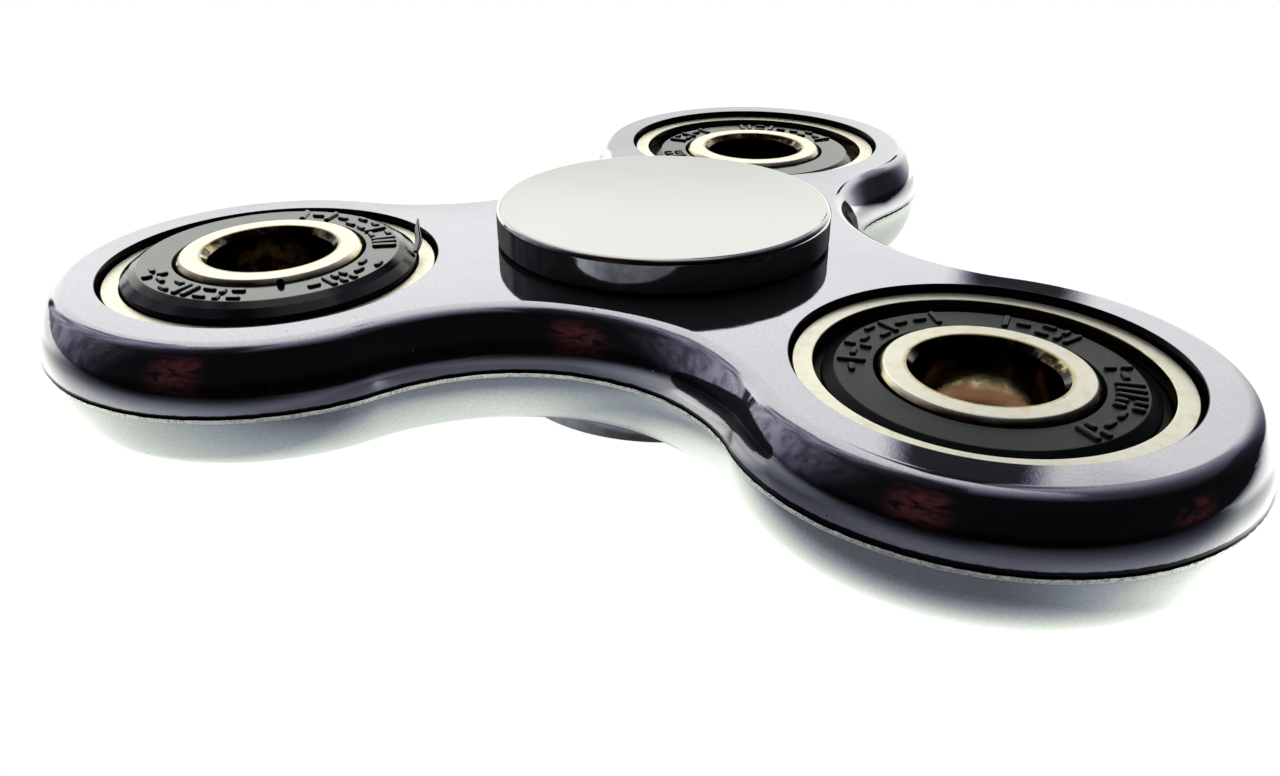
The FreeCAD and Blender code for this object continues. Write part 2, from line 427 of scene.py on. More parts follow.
def inner_ring(name, centre, open_shoulder):
    """Inner ring with its bore chamfers and ball groove."""
    bottom = -bearing_width
    land_chamfer = 0.3
    foot_radius = 5.3
    face_inside = BORE_RADIUS + BORE_CHAMFER
    face_outside = INNER_LAND_RADIUS - land_chamfer
    section = [(BORE_RADIUS, -BORE_CHAMFER, 0.25), (face_inside, 0, 0.12)]
    section += [(face_outside, 0, 0.15), (INNER_LAND_RADIUS, -land_chamfer, 0.15)]
    cut = groove(INNER_GROOVE_FLOOR, INNER_LAND_RADIUS, -1)
    if open_shoulder:
        section += cut[:7]
        section += [(INNER_GROOVE_FLOOR, bottom + 0.2, 0.1), (foot_radius, bottom, 0.1)]
    else:
        section += cut
        section += [(INNER_LAND_RADIUS, bottom + land_chamfer, 0.15), (face_outside, bottom, 0.15)]
    section += [(face_inside, bottom, 0.12), (BORE_RADIUS, bottom + BORE_CHAMFER, 0.25)]
    return lathe(name, rounded(section, 0.05), centre, 300)


def seal(name, centre, lip, side, raised=False):
    """Rubber seal over its steel insert. side is 1 for an upper seal and -1 for a lower one."""
    face, bottom = -SEAL_FACE_DEPTH, -SEAL_STEP_DEPTH
    shelf, roof = -0.9, -0.95
    section = [(lip, bottom), (lip, -0.75), (6.25, face), (SEAL_FLAT_RADIUS, face, 0.12)]
    if raised:
        skirt = -1.6
        section += [(8.95, -0.6, 0.1), (SEAL_RIM_RADIUS, -1.02, 0.06), (SEAL_RIM_RADIUS, skirt),
                    (INSERT_OUTER_RADIUS, skirt)]
    else:
        section += [(9.1, -0.7, 0.1), (9.1, shelf), (SEAL_RIM_RADIUS, shelf, 0.06),
                    (SEAL_RIM_RADIUS, bottom), (INSERT_OUTER_RADIUS, bottom)]
    section += [(INSERT_OUTER_RADIUS, roof), (INSERT_INNER_RADIUS, roof),
                (INSERT_INNER_RADIUS, bottom)]
    if side < 0:
        section = [(corner[0], -bearing_width - corner[1], *corner[2:]) for corner in section]
    return lathe(name, rounded(section, 0.04), centre, 300)


# ==== finger caps ====

def finger_cap(name, side):
    """Polished disc with its shoulder and stub. side is 1 for the upper cap."""
    disc_z = half_thickness + CAP_GAP
    face_z = disc_z + CAP_THICKNESS
    ring_z = bearing_width / 2
    stub_z = ring_z - STUB_LENGTH
    burnish = 0.03
    section = [(0, face_z, 0, 1)]
    section += arc_points((CAP_RADIUS - CAP_EDGE_RADIUS, face_z - CAP_EDGE_RADIUS), CAP_EDGE_RADIUS,
                          math.pi / 2, 0, 8)
    section += arc_points((CAP_RADIUS - burnish, disc_z + burnish), burnish, 0, -math.pi / 2, 3)
    section += [(CAP_SHOULDER_RADIUS, z, out, up)
                for z, out, up in ((disc_z, 0, -1), (disc_z, 1, 0), (ring_z, 1, 0), (ring_z, 0, -1))]
    section += [(BORE_RADIUS, ring_z, 0, -1), (BORE_RADIUS, ring_z, 1, 0),
                (BORE_RADIUS, stub_z + STUB_CHAMFER, 1, 0),
                (BORE_RADIUS - STUB_CHAMFER, stub_z, 0, -1), (0, stub_z, 0, -1)]
    if side < 0:
        section = [(r, -z, out, -up) for r, z, out, up in section]
    return lathe(name, section, (0, 0, mid_z), 360, closed=False)


# ==== small seal features ====

def raised_bar(place, angle, heading, length, width, height):
    """Rounded bar that stands on a flat face, as points, normals and faces, turned to an angle."""
    outline = []
    for end in (1, -1):
        for step in range(7):
            turn = math.pi / 2 * (step / 3 - 1)
            outline.append((end * ((length - width) / 2 + width / 2 * math.cos(turn)),
                            end * width / 2 * math.sin(turn), end * math.cos(turn),
                            end * math.sin(turn)))
    levels = [(0.05, -0.02, 0.96, 0.28), (0.0, 0.55 * height, 0.9, 0.44),
              (-0.02, 0.85 * height, 0.6, 0.8), (-0.06, height, 0.15, 0.99),
              (-0.45 * width, height, 0.0, 1.0)]
    points = []
    normals = []
    for grow, z, out, up in levels:
        for x, y, nx, ny in outline:
            points.append((x + grow * nx, y + grow * ny, z))
            normals.append((nx * out, ny * out, up))
    count = len(outline)
    faces = []
    for level in range(len(levels) - 1):
        for step in range(count):
            after = (step + 1) % count
            faces.append((level * count + step, level * count + after,
                          (level + 1) * count + after, (level + 1) * count + step))
    faces.append(tuple(range((len(levels) - 1) * count, len(levels) * count)))
    centre = Matrix.Rotation(angle, 3, "Z") @ Vector(place)
    spin = Matrix.Rotation(angle + heading, 3, "Z")
    return ([tuple(spin @ Vector(point) + centre) for point in points],
            [tuple(spin @ Vector(normal)) for normal in normals], faces)


def seal_marks(name, centre, start, seed):
    """Plain raised bars in three groups round the flat of a seal, from an angle in degrees."""
    along = math.pi / 2
    # Each mark is its bars, as (turn, radius, heading, length, width), and its share of the way.
    spoke = ([(0, 7.45, 0, 1.6, 0.34)], 5.4)
    split_spoke = ([(0, 7.0, 0, 0.68, 0.34), (0, 7.95, 0, 0.68, 0.34)], 5.4)
    dash = ([(2.4, 7.45, along, 0.85, 0.34)], 10.4)
    two_dashes = ([(2.4, 6.85, along, 0.85, 0.32), (2.4, 8.0, along, 0.85, 0.32)], 10.4)
    kinds = (spoke, spoke, two_dashes, split_spoke, dash)
    source = random.Random(seed)
    points, normals, faces = [], [], []
    for middle, span in ((start, 84), (start - 88, 37), (start - 170, 72)):
        angle = middle - span / 2
        while angle < middle + span / 2:
            bars, share = kinds[source.randrange(len(kinds))]
            for turn, radius, heading, length, width in bars:
                made = raised_bar((radius, 0, -SEAL_FACE_DEPTH), math.radians(angle + turn), heading,
                                  length, width, 0.17)
                faces.extend(tuple(index + len(points) for index in face) for face in made[2])
                points.extend(made[0])
                normals.extend(made[1])
            angle += share
    points = np.array(points) + np.array(centre)
    return link(smooth_mesh(name, points, np.array(normals), faces, points[:, :2]), name)


def smoothed(path, radii):
    """Places and radii along a smooth curve through a path's places, six steps to a stretch."""
    path = [Vector(place) for place in path]
    made = []
    for start in range(len(path) - 1):
        a, b = path[start], path[start + 1]
        before = path[max(start - 1, 0)]
        after = path[min(start + 2, len(path) - 1)]
        for step in range(6):
            t = step / 6
            made.append((0.5 * ((2 * a) + (b - before) * t
                                + (2 * before - 5 * a + 4 * b - after) * t * t
                                + (3 * a - before - 3 * b + after) * t ** 3),
                         radii[start] + (radii[start + 1] - radii[start]) * t))
    made.append((path[-1], radii[-1]))
    return made


def sliver(name, path, radii, flatness):
    """Thin curved sliver of rubber through a few (x, y, z) places."""
    sides = 8
    route = smoothed(path, radii)
    points = []
    normals = []
    for index, (place, radius) in enumerate(route):
        ahead = route[min(index + 1, len(route) - 1)][0]
        behind = route[max(index - 1, 0)][0]
        along = (ahead - behind).normalized()
        across = along.cross(Vector((0, 0, 1)) if abs(along.z) < 0.9 else Vector((1, 0, 0)))
        across.normalize()
        rise = across.cross(along)
        for side in range(sides):
            turn = side * 2 * math.pi / sides
            way = across * math.cos(turn) * flatness + rise * math.sin(turn)
            points.append(tuple(place + way * radius))
            normals.append(tuple((across * math.cos(turn) / flatness
                                  + rise * math.sin(turn)).normalized()))
    points = np.array(points)
    normals = np.array(normals)
    rings = len(route)
    faces = grid(points.reshape(rings, sides, 3), normals.reshape(rings, sides, 3), False, True)
    faces += [tuple(range(sides)), tuple(range(len(points) - sides, len(points)))]
    return link(smooth_mesh(name, points, normals, faces, points[:, :2]), name)


# ==== materials ====

class Nodes:
    """Short calls for building a node tree."""

    def __init__(self, tree):
        self.tree = tree

    def add(self, kind, settings=None, **inputs):
        """A node with its settings; inputs are values or sockets, by name or as _number."""
        node = self.tree.nodes.new(kind)
        for key, value in (settings or {}).items():
            setattr(node, key, value)
        for key, value in inputs.items():
            socket = node.inputs[int(key[1:]) if key[1:].isdigit() else key.replace("_", " ")]
            self.feed(socket, value)
        return node

    def feed(self, socket, value):
        """Links a socket, or sets it to a constant."""
        if isinstance(value, bpy.types.NodeSocket):
            self.tree.links.new(value, socket)
        else:
            socket.default_value = value

    def ramp(self, value, low, high, to_low=0.0, to_high=1.0):
        """A smooth step from one value to another."""
        node = self.add("ShaderNodeMapRange", {"interpolation_type": "SMOOTHSTEP"}, Value=value)
        for key, number in (("From Min", low), ("From Max", high), ("To Min", to_low),
                            ("To Max", to_high)):
            node.inputs[key].default_value = number
        return node.outputs[0]

    def window(self, value, low, high, soft):
        """1 between two values and 0 outside them, with soft edges."""
        return self.times(self.ramp(value, low - soft, low + soft),
                          self.ramp(value, high - soft, high + soft, 1.0, 0.0))

    def curve(self, value, stops):
        """Value through straight stretches between (input, output) stops."""
        low, high = stops[0][0], stops[-1][0]
        top = max(stop[1] for stop in stops)
        scaled = self.add("ShaderNodeMapRange", Value=value, From_Min=low, From_Max=high)
        node = self.add("ShaderNodeValToRGB", Fac=scaled.outputs[0])
        elements = node.color_ramp.elements
        elements.remove(elements[1])
        elements[0].position = 0
        elements[0].color = (stops[0][1] / top,) * 3 + (1,)
        for at, level in stops[1:]:
            elements.new((at - low) / (high - low)).color = (level / top,) * 3 + (1,)
        return self.times(node.outputs[0], top)

    def maths(self, operation, first, second=0.0):
        """One sum of two numbers, by Blender's name for it."""
        return self.add("ShaderNodeMath", {"operation": operation}, _0=first, _1=second).outputs[0]

    def times(self, first, second):
        return self.maths("MULTIPLY", first, second)

    def parts(self, vector):
        """The x, y and z of a vector."""
        return self.add("ShaderNodeSeparateXYZ", Vector=vector).outputs

    def scaled(self, vector, factor):
        """Vector or colour times a number."""
        return self.add("ShaderNodeVectorMath", {"operation": "SCALE"}, _0=vector,
                        Scale=factor).outputs[0]

    def blend(self, factor, first, second):
        """Number between two numbers."""
        return self.add("ShaderNodeMix", {"data_type": "FLOAT"}, _0=factor, _2=first,
                        _3=second).outputs[0]

    def mix(self, factor, first, second):
        """Colour between two colours."""
        return self.add("ShaderNodeMix", {"data_type": "RGBA"}, _0=factor, _6=first,
                        _7=second).outputs[2]


class Sky(Nodes):
    """Node tree of the world, with the azimuth and height of each direction in degrees."""

    def __init__(self, tree):
        super().__init__(tree)
        self.direction = self.add("ShaderNodeTexCoord").outputs["Generated"]
        x, y, z = self.parts(self.direction)
        to_degrees = 180 / math.pi
        self.azimuth = self.times(self.maths("ARCTAN2", x, y), to_degrees)
        self.height = self.times(self.maths("ARCSINE", z), to_degrees)

    def patch(self, across, upright):
        """1 in a patch of the sky; each range is its low, its high and its edge's softness."""
        return self.times(self.window(self.azimuth, *across), self.window(self.height, *upright))


class Surface(Nodes):
    """Node tree of a piece's material, with procedural textures sized in millimetres."""

    def __init__(self, name, metallic):
        self.material = bpy.data.materials.new(name)
        self.material.use_nodes = True
        super().__init__(self.material.node_tree)
        self.shader = self.tree.nodes["Principled BSDF"]
        self.shader.inputs["Metallic"].default_value = metallic
        places_out = self.add("ShaderNodeTexCoord").outputs
        self.place = places_out["Object"]
        self.round, self.reach = self.parts(places_out["UV"])[:2]

    def finish(self, colour, roughness, normal):
        """The material, with its look linked to the shader."""
        self.feed(self.shader.inputs["Base Color"], colour)
        self.feed(self.shader.inputs["Roughness"], roughness)
        self.feed(self.shader.inputs["Normal"], normal)
        return self.material

    def noise(self, size, detail=2.0, roughness=0.5):
        """Noise from 0 to 1 with features of about that size."""
        return self.add("ShaderNodeTexNoise", Vector=self.place, Scale=1 / (size * MM),
                        Detail=detail, Roughness=roughness).outputs[0]

    def streaks(self, long, across, detail=3.0):
        """Noise drawn out along v of the texture place: across is its size along u."""
        scaled = self.add("ShaderNodeCombineXYZ", X=self.maths("DIVIDE", self.round, across),
                          Y=self.maths("DIVIDE", self.reach, long))
        return self.add("ShaderNodeTexNoise", Vector=scaled.outputs[0], Scale=1.0, Detail=detail,
                        Roughness=0.6).outputs[0]

    def spots(self, spacing, radius, share, seed=0.0):
        """1 in small scattered dots and 0 elsewhere."""
        moved = self.add("ShaderNodeVectorMath", {"operation": "ADD"}, _0=self.place,
                         _1=(seed, seed, seed)).outputs[0]
        cells = self.add("ShaderNodeTexVoronoi", Vector=moved, Scale=1 / (spacing * MM))
        edge = radius / spacing
        near = self.ramp(cells.outputs["Distance"], 0.6 * edge, edge, 1, 0)
        chosen = self.add("ShaderNodeSeparateColor", Color=cells.outputs["Color"]).outputs[0]
        return self.times(near, self.maths("LESS_THAN", chosen, share))

    def bump(self, height, distance, below=None):
        """Normal from a height, distance in millimetres."""
        node = self.add("ShaderNodeBump", Height=height, Strength=1.0, Distance=distance * MM)
        if below is not None:
            self.feed(node.inputs["Normal"], below)
        return node.outputs[0]


def plated_metal():
    """Dark lavender electroplated finish over a cast surface, worn bare along the parting line."""
    s = Surface("plated_metal", 0.93)
    up = s.reach
    grain = s.noise(0.17, 3.0, 0.65)
    pits = s.spots(1.3, 0.07, 0.12)
    dust = s.spots(1.1, 0.05, 0.14, 0.3)
    # The lower casting is duller and has a lighter tint, a painted reflection of the bright table;
    # just over the parting line the upper side is darkest, a band of painted shade.
    lower_half = s.ramp(up, -0.5, -0.2, 1, 0)
    shade_strip = s.times(s.window(up, 0.0, 2.1, 0.3), s.ramp(up, 0.3, 1.6, 0.1, 0.95))
    tint = s.mix(s.noise(7.0, 3.0), (0.51, 0.495, 0.57, 1), (0.58, 0.565, 0.64, 1))
    tint = s.mix(lower_half, tint, (0.62, 0.65, 0.67, 1))
    tint = s.mix(shade_strip, tint, (0.13, 0.13, 0.16, 1))
    tint = s.mix(s.ramp(grain, 0.35, 0.65), s.mix(0.12, tint, (0.1, 0.1, 0.13, 1)), tint)
    tint = s.mix(pits, tint, (0.05, 0.05, 0.07, 1))
    tint = s.mix(dust, tint, (0.85, 0.86, 0.88, 1))
    # The moulds' seam: a light scraped edge under a dark line of painted shade, which thins towards
    # the back.
    seam = s.window(up, -0.28, 0.004, 0.012)
    scraped = s.times(seam, s.ramp(s.noise(0.3, 4.0, 0.7), 0.40, 0.52))
    tint = s.mix(scraped, tint, (0.84, 0.86, 0.78, 1))
    across, back = s.parts(s.place)[:2]
    ragged = s.times(s.maths("SUBTRACT", s.noise(0.5, 4.0, 0.7), 0.5), 0.14)
    ragged = s.maths("ADD", ragged, s.ramp(across, 0, 0.02, 0, 0.12))
    # Painted shade: a ragged near-black line just over the seam.
    seam_shade = s.times(s.window(s.maths("SUBTRACT", up, ragged), -0.1, 0.25, 0.04),
                   s.times(s.ramp(up, -0.01, 0.02), s.ramp(back, 0.008, 0.016, 1, 0.35)))
    tint = s.mix(seam_shade, tint, (0.01, 0.01, 0.015, 1))
    # Painted shade: the walls of the bearing seats are near-black, for the dark gap round each outer
    # ring.
    tint = s.mix(s.ramp(up, FLAT_REACH + 0.5, SEAT_REACH - 0.1), tint, (0.03, 0.03, 0.035, 1))

    roughness = s.ramp(grain, 0.3, 0.8, 0.025, 0.06)
    roughness = s.blend(lower_half, roughness, s.ramp(grain, 0.3, 0.8, 0.10, 0.20))
    roughness = s.blend(s.maths("MAXIMUM", dust, s.times(scraped, 0.8)), roughness, 0.5)

    strokes = s.times(s.streaks(4.0, 0.16), s.window(up, 3.2, 3.92, 0.05))
    normal = s.bump(grain, 0.0011)
    normal = s.bump(s.noise(1.1, 1.0), 0.0025, normal)
    normal = s.bump(s.noise(5.0, 1.0), 0.02, normal)
    normal = s.bump(strokes, 0.0025, normal)
    normal = s.bump(s.times(s.noise(0.12, 3.0, 0.7), seam), 0.04, normal)
    return s.finish(tint, roughness, normal)


def cap_chrome():
    """Neutral polished chrome of the finger caps."""
    s = Surface("cap_chrome", 0.95)
    grain = s.noise(0.16, 2.0, 0.6)
    tint = s.mix(s.noise(9.0, 2.0), (0.55, 0.55, 0.55, 1), (0.60, 0.60, 0.595, 1))
    tint = s.mix(s.spots(2.4, 0.08, 0.12, 0.4), tint, (0.12, 0.12, 0.12, 1))
    dust = s.spots(1.0, 0.045, 0.2, 0.9)
    tint = s.mix(dust, tint, (0.9, 0.9, 0.9, 1))
    roughness = s.blend(dust, s.ramp(grain, 0.3, 0.8, 0.06, 0.12), 0.5)
    # Painted shade: the cap's rim wall is darkened in patches, standing in for the dark reflections
    # there.
    wall = s.ramp(s.reach, CAP_RADIUS - 0.03, CAP_RADIUS - 0.005)
    tint = s.mix(s.times(wall, s.ramp(s.noise(0.9, 4.0, 0.6), 0.35, 0.65, 0.0, 0.45)),
                 tint, (0.2, 0.2, 0.24, 1))
    return s.finish(tint, roughness, s.bump(s.noise(3.5, 1.0), 0.006, s.bump(grain, 0.0012)))


def ring_steel():
    """Ground bearing steel: cream faces, and golden-brown oiled walls and bores."""
    s = Surface("ring_steel", 1.0)
    face = s.maths("ADD", s.window(s.reach, 4.6, 5.85, 0.1), s.window(s.reach, 9.66, 10.75, 0.05))
    stain = s.ramp(s.noise(0.9, 4.0, 0.6), 0.45, 0.75)
    clean = s.mix(stain, (0.96, 0.92, 0.79, 1), (0.86, 0.79, 0.62, 1))
    oiled = s.mix(stain, (0.50, 0.42, 0.24, 1), (0.34, 0.17, 0.08, 1))
    tint = s.mix(face, oiled, clean)
    up = s.maths("DIVIDE", s.parts(s.place)[2], MM)
    # Painted shade: the bore and its chamfer are darkened in patches, more strongly higher up.
    bore_shade = s.times(s.ramp(s.noise(1.5, 4.0, 0.6), 0.35, 0.52),
                   s.ramp(up, 6.8, 8.6, 0.5, 1))
    bore = s.ramp(s.reach, 4.35, 4.5, 1, 0)
    tint = s.mix(s.times(bore_shade, bore), tint, (0.02, 0.015, 0.01, 1))
    # Painted reflection: lower in the bore the steel is tinted dark reddish-brown, standing in for the
    # shaded table seen in it.
    tint = s.mix(s.times(s.ramp(up, 6.5, 7.3, 0.9, 0), bore), tint, (0.11, 0.045, 0.026, 1))
    tint = s.mix(s.spots(0.8, 0.06, 0.12, 0.2), tint, (0.06, 0.04, 0.03, 1))
    grit = s.noise(0.10, 3.0, 0.7)
    ground = s.streaks(0.05, 3.0)
    roughness = s.blend(face, s.ramp(grit, 0.3, 0.8, 0.06, 0.14), s.ramp(grit, 0.3, 0.8, 0.30, 0.44))
    normal = s.bump(grit, 0.0025)
    normal = s.bump(s.times(ground, face), 0.0018, normal)
    return s.finish(tint, roughness, s.bump(s.noise(1.6, 2.0), 0.012, normal))


def seal_rubber(name, roughness_low, index):
    """Satin black nitrile rubber, with its lowest roughness and its refractive index."""
    s = Surface(name, 0.0)
    s.shader.inputs["IOR"].default_value = index
    # The bevel round the flat is dull.
    s.feed(s.shader.inputs["Specular IOR Level"], s.ramp(s.reach, SEAL_FLAT_RADIUS - 0.05,
                                                              SEAL_FLAT_RADIUS + 0.1, 0.5, 0.1))
    grit = s.noise(0.13, 3.0, 0.6)
    dust = s.spots(0.8, 0.045, 0.10, 0.7)
    tint = s.mix(s.noise(1.6, 3.0), (0.003, 0.006, 0.006, 1), (0.010, 0.017, 0.016, 1))
    tint = s.mix(dust, tint, (0.30, 0.31, 0.28, 1))
    roughness = s.ramp(grit, 0.3, 0.8, roughness_low, roughness_low + 0.12)
    return s.finish(tint, roughness, s.bump(s.noise(1.5, 2.0), 0.01, s.bump(grit, 0.004)))


def ball_steel():
    """Mirror-polished ball steel with a film of grease."""
    s = Surface("ball_steel", 1.0)
    film = s.noise(1.2, 2.0)
    tint = s.mix(film, (0.72, 0.71, 0.69, 1), (0.60, 0.56, 0.47, 1))
    return s.finish(tint, s.ramp(film, 0.3, 0.7, 0.06, 0.2), s.bump(film, 0.002))


def cage_nylon():
    """Off-white moulded nylon."""
    s = Surface("cage_nylon", 0.0)
    mottle = s.noise(0.8, 3.0)
    tint = s.mix(mottle, (0.70, 0.64, 0.50, 1), (0.56, 0.50, 0.38, 1))
    return s.finish(tint, s.ramp(mottle, 0.3, 0.7, 0.4, 0.55), s.bump(mottle, 0.01))


def insert_steel():
    """Pressed mild-steel washer."""
    s = Surface("insert_steel", 1.0)
    grit = s.noise(0.3, 3.0, 0.6)
    tint = s.mix(grit, (0.50, 0.49, 0.46, 1), (0.36, 0.34, 0.31, 1))
    return s.finish(tint, s.ramp(grit, 0.3, 0.7, 0.35, 0.55), s.bump(grit, 0.004))


# ==== the studio ====

def wall_light(n):
    """Strength of the light from the studio's wall and ceiling, by direction."""
    # It fades towards the camera's side, and the ceiling's fades less quickly.
    toward = n.add("ShaderNodeVectorMath", {"operation": "DOT_PRODUCT"}, _0=n.direction,
                   _1=(-0.5, 0.866, 0.5)).outputs["Value"]
    light = n.curve(toward, [(-1.0, 0.0), (-0.1, 0.0), (0.0, 0.03), (0.1, 0.06), (0.3, 0.22),
                             (0.5, 0.43), (0.7, 0.80), (0.86, 1.12), (1.12, 1.25)])
    light = n.times(light, n.curve(n.height, [(-90, 1.38), (2, 1.38), (12, 1.27), (21, 1.12),
                                            (31, 0.98), (90, 0.92)]))
    # A soft grey band low on the wall.
    band = n.patch((-46, -7, 7), (10, 17.2, 2.4))
    light = n.times(light, n.blend(band, 1.0, 0.66))
    # Beyond the wall's left edge the room is dim and streaked.
    edge = n.curve(n.height, [(-90, -70), (24, -70), (34, -62), (52, -62), (60, -76), (90, -80)])
    inside = n.maths("SUBTRACT", n.azimuth, n.maths("SUBTRACT", edge, 90.0))
    on_left = n.curve(n.azimuth, [(-180, 1), (0, 1), (0.1, 0), (180, 0)])
    slanted = n.add("ShaderNodeMapping", Vector=n.direction, Rotation=(0.5, 0.4, 0),
                    Scale=(3.0, 3.0, 1.2)).outputs[0]
    streaks = n.add("ShaderNodeTexNoise", Vector=slanted, Scale=3.0, Detail=4.0,
                    Roughness=0.6).outputs[0]
    light = n.times(light, n.blend(n.times(on_left, n.ramp(inside, 86, 92, 1, 0)), 1.0,
                                   n.ramp(streaks, 0.36, 0.66, 0.2, 0.62)))
    # A dark upright line low on the wall, and an unlit ceiling over the camera's left.
    line = n.times(n.window(n.azimuth, -71, -66, 0.8), n.ramp(n.height, 9, 16, 1, 0))
    gloom = n.patch((-180, -112, 12), (30, 80, 4))
    return n.times(n.times(light, n.blend(line, 1.0, 0.02)), n.blend(gloom, 1.0, 0.2))


def past_stands(n, light):
    """The light, less what a dark stand and a grey board over a dark doorway hide."""
    board = n.window(n.height, 30, 67, 2.5)
    doorway = n.curve(n.azimuth, [(-180, 1.0), (12, 1.0), (24, 0.85), (32, 0.45), (37, 0.25),
                                (42, 0.08), (47, 0.04), (90, 0.04), (110, 1.0), (180, 1.0)])
    doorway = n.blend(n.ramp(n.height, 55, 68), doorway, 1.0)
    plate = n.curve(n.azimuth, [(-180, 1.0), (2, 1.0), (7, 0.42), (22, 0.42), (36, 0.30), (50, 0.22),
                              (66, 0.2), (85, 0.3), (110, 1.0), (180, 1.0)])
    light = n.times(light, n.blend(board, doorway, plate))
    haze = n.patch((-13, 12, 2), (40, 64, 3))
    light = n.times(light, n.blend(haze, 1.0, 0.3))
    post = n.patch((-4.2, 4.2, 1.2), (27.5, 63, 1.2))
    head = n.patch((-11, 4.2, 1.2), (44, 63, 2.5))
    foot = n.patch((-1.8, 4.2, 1.0), (17.5, 22.6, 0.8))
    stand = n.maths("MAXIMUM", n.maths("MAXIMUM", post, head), foot)
    return n.times(light, n.blend(stand, 1.0, 0.01))


def red_cloths(n):
    """Colour that two dull red cloths add to the dark room."""
    left = n.patch((-173, -151, 7), (0, 36, 9))
    right = n.patch((83, 98, 5), (0, 11, 5))
    folds = n.add("ShaderNodeTexNoise", Vector=n.direction, Scale=6.0, Detail=2.0,
                  Distortion=1.5).outputs[0]
    glow = n.times(n.maths("MAXIMUM", left, right), n.ramp(folds, 0.30, 0.66))
    return n.scaled((0.075, 0.018, 0.018), glow)


def studio_world():
    """Bright studio wall behind the spinner that falls away to a dark room in front of it."""
    world = bpy.data.worlds.new("studio")
    world.use_nodes = True
    bpy.context.scene.world = world
    world.node_tree.nodes.clear()
    n = Sky(world.node_tree)
    light = past_stands(n, wall_light(n))
    # Bright light is a little warm, and dim light is lavender.
    tint = n.mix(n.ramp(light, 0.05, 0.9), (0.90, 0.86, 1.14, 1), (1.0, 1.025, 0.955, 1))
    total = n.add("ShaderNodeVectorMath", {"operation": "ADD"}, _0=n.scaled(tint, light),
                  _1=red_cloths(n)).outputs[0]
    # Second reflections are dull, and the camera itself sees a plain white backdrop.
    path = n.add("ShaderNodeLightPath").outputs
    total = n.scaled(total, n.ramp(path["Glossy Depth"], 1.0, 2.0, 1.0, 0.10))
    shown = n.mix(path["Is Camera Ray"], total, (1, 1, 1, 1))
    background = n.add("ShaderNodeBackground", Color=shown, Strength=1.0)
    n.feed(n.add("ShaderNodeOutputWorld").inputs[0], background.outputs[0])


def table_light(s, x, y):
    """Strength of the wall's light on the table, most behind and beside the spinner."""
    front = s.curve(y, [(-120, 0.02), (-95, 0.04), (-80, 0.07), (-70, 0.11), (-60, 0.16),
                        (-50, 0.22), (-44, 0.20), (-38, 0.14), (-30, 0.14), (-20, 0.26), (0, 0.3)])
    left = s.curve(y, [(-120, 0.04), (-84, 0.10), (-68, 0.25), (-60, 0.33), (-52, 0.43),
                       (-44, 0.62), (-40, 0.80), (-36, 0.92), (-32, 1.08), (-28, 1.35),
                       (-24, 1.60), (-19, 1.80), (0, 1.85)])
    past = s.times(s.maths("MAXIMUM", s.maths("SUBTRACT", x, 40), 0), 0.4)
    right = s.curve(s.maths("SUBTRACT", y, past), [
        (-120, 0.04), (-50, 0.20), (-45, 0.22), (-40, 0.27), (-35, 0.32), (-31, 0.45),
        (-28, 0.65), (-26.5, 0.85), (-24, 1.10), (-21.5, 1.40), (-20, 1.70), (-18, 1.85)])
    light = s.blend(s.curve(x, [(-50, 1), (-34, 1), (-8, 0), (50, 0)]), front, left)
    light = s.blend(s.ramp(x, 26, 38), light, right)
    light = s.maths("MAXIMUM", light, s.ramp(y, -8, 1, 0, 1.75))
    return s.times(light, s.curve(x, [(-160, 0.6), (-90, 0.65), (-66, 0.85), (-58, 1), (48, 1),
                                      (66, 0.8), (78, 0.6), (110, 0.2), (160, 0)]))


def from_edge(s, name):
    """Distance out from the circle of a lobe or of the hub, and -1 in front of it to 0 beside it."""
    away = s.add("ShaderNodeVectorMath", {"operation": "SUBTRACT"}, _0=s.place,
                 _1=tuple(places[name] * MM)).outputs[0]
    length = s.add("ShaderNodeVectorMath", {"operation": "LENGTH"}, _0=away).outputs["Value"]
    unit = s.add("ShaderNodeVectorMath", {"operation": "NORMALIZE"}, _0=away).outputs[0]
    radius = WAIST_DISTANCE if name == "centre" else LOBE_RADIUS
    return (s.maths("SUBTRACT", s.maths("DIVIDE", length, MM), radius),
            s.maths("MINIMUM", s.parts(unit)[1], 0.0))


def lobe_glow(s, name, out, ahead):
    """Light between a lobe's edge and the table, widest to the lobe's sides."""
    spread = s.times(s.maths("MAXIMUM", out, 0.0), s.times(ahead, ahead))
    reach = s.maths("ADD", spread, s.maths("MINIMUM", out, 0.0))
    shift = 0.3 if name == "left" else 0.0
    stops = [(-7, 0.08), (-5.2, 0.22), (-4.5, 1.5), (-2.6, 1.6), (-0.5, 1.55), (0, 1.35),
             (0.5, 1.05), (1.0, 0.74), (1.5, 0.48), (2.5, 0.20), (3.5, 0.13), (5, 0.0)]
    glow = s.curve(reach, [(at - shift, level) for at, level in stops])
    return s.times(glow, s.ramp(out, 4, 13, 1, 0))


